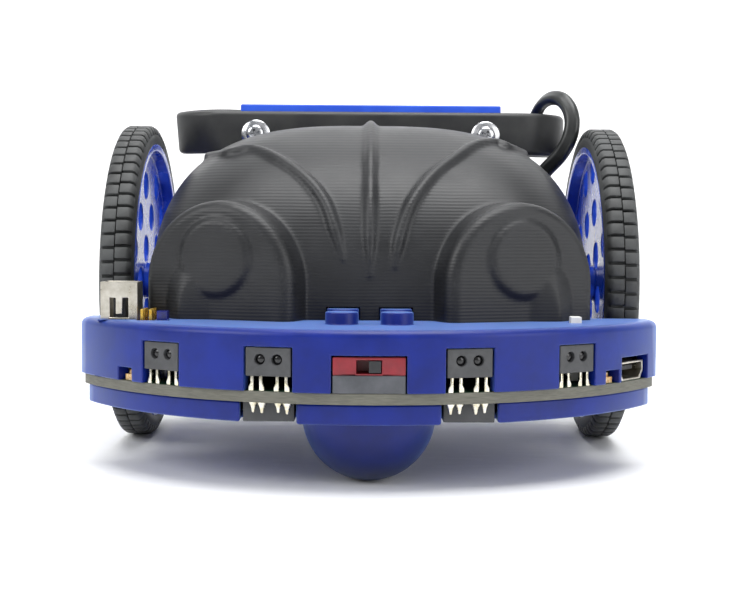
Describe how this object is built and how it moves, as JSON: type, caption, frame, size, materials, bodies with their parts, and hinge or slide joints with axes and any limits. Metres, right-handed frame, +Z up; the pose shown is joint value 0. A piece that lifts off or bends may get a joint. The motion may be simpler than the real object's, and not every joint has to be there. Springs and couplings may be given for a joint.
{
  "type": "line follower robot",
  "caption": "Small two-wheeled line follower robot with a front skid, downward and forward sensors, a car-like hood and a strapped battery box.",
  "frame": {"origin": "on the floor, under the centre of the overall box", "axes": "+Z up, the front with its switch and sensors faces -Y, wheel axle along X"},
  "size_m": [0.089, 0.086, 0.0627],
  "materials": {
    "blue_plastic": "frosted translucent moulded plastic",
    "board": "glass-fibre laminate, cut edge",
    "steel": "bright plated steel",
    "dark_plastic": "matte moulded plastic",
    "tinned_leads": "bright tin",
    "light": "clear resin over gold contacts",
    "lens": "moulded light guide",
    "gold_pins": "gold plated",
    "red_plastic": "moulded plastic",
    "can_aluminium": "drawn can",
    "motor_steel": "plated steel can",
    "gearbox_metal": "plates and gears",
    "white_plastic": "moulded nylon",
    "wire": "soft cable jacket",
    "hub_plastic": "moulded plastic",
    "tyre_rubber": "moulded rubber with a block tread",
    "hood_plastic": "printed in fine layers",
    "box_plastic": "moulded plastic",
    "cell_jacket": "printed jacket",
    "strap_rubber": "smooth rubber"
  },
  "bodies": {
    "chassis": {"lower_shell": "blue_plastic", "circuit_board": "board", "upper_shell": "blue_plastic", "shell_screws": "steel", "outer_left_sensor": "dark_plastic", "inner_left_sensor": "dark_plastic", "inner_right_sensor": "dark_plastic", "outer_right_sensor": "dark_plastic", "inner_sensor_leads": "tinned_leads", "outer_sensor_leads": "tinned_leads", "solder_joints": "tinned_leads", "left_line_sensor": "dark_plastic", "right_line_sensor": "dark_plastic", "left_status_light": "light", "right_status_light": "light", "micro_socket": "steel", "micro_socket_tongue": "dark_plastic", "upright_socket": "steel", "upright_socket_insert": "dark_plastic", "pin_header": "gold_pins", "pin_header_base": "dark_plastic", "left_indicator": "lens", "right_indicator": "lens", "switch_base": "dark_plastic", "switch_cover": "red_plastic", "microcontroller": "dark_plastic", "motor_driver": "dark_plastic", "voltage_regulator": "dark_plastic", "crystal": "steel", "capacitors": "can_aluminium", "left_motor": "motor_steel", "right_motor": "motor_steel", "left_gearbox": "gearbox_metal", "right_gearbox": "gearbox_metal", "left_bracket": "white_plastic", "right_bracket": "white_plastic", "bracket_screws": "steel", "motor_leads": "wire", "hood": "hood_plastic", "battery_box": "box_plastic", "lower_cell": "cell_jacket", "middle_cell": "cell_jacket", "upper_cell": "cell_jacket", "battery_contacts": "steel", "box_screws": "steel", "rubber_strap": "strap_rubber", "strap_washers": "steel", "strap_screws": "steel", "power_cable": "wire", "cable_plug": "dark_plastic", "power_header": "white_plastic"},
    "left_wheel": {"left_shaft": "steel", "left_hub": "hub_plastic", "left_tyre": "tyre_rubber"},
    "right_wheel": {"right_shaft": "steel", "right_hub": "hub_plastic", "right_tyre": "tyre_rubber"},
    "knob": {"switch_knob": "dark_plastic"},
    "lid": {"battery_lid": "box_plastic"}
  },
  "joints": [
    {"name": "left_wheel_spin", "type": "hinge", "parent": "chassis", "child": "left_wheel", "pos_m": [-0.038, 0.0155, 0.0275], "axis": [1, 0, 0], "continuous": true},
    {"name": "right_wheel_spin", "type": "hinge", "parent": "chassis", "child": "right_wheel", "pos_m": [0.038, 0.0155, 0.0275], "axis": [1, 0, 0], "continuous": true},
    {"name": "switch_slide", "type": "slide", "parent": "chassis", "child": "knob", "axis": [1, 0, 0], "range_m": [-0.0016, 0]},
    {"name": "lid_slide", "type": "slide", "parent": "chassis", "child": "lid", "axis": [0, 0, 1], "range_m": [0, 0.036]}
  ]
}
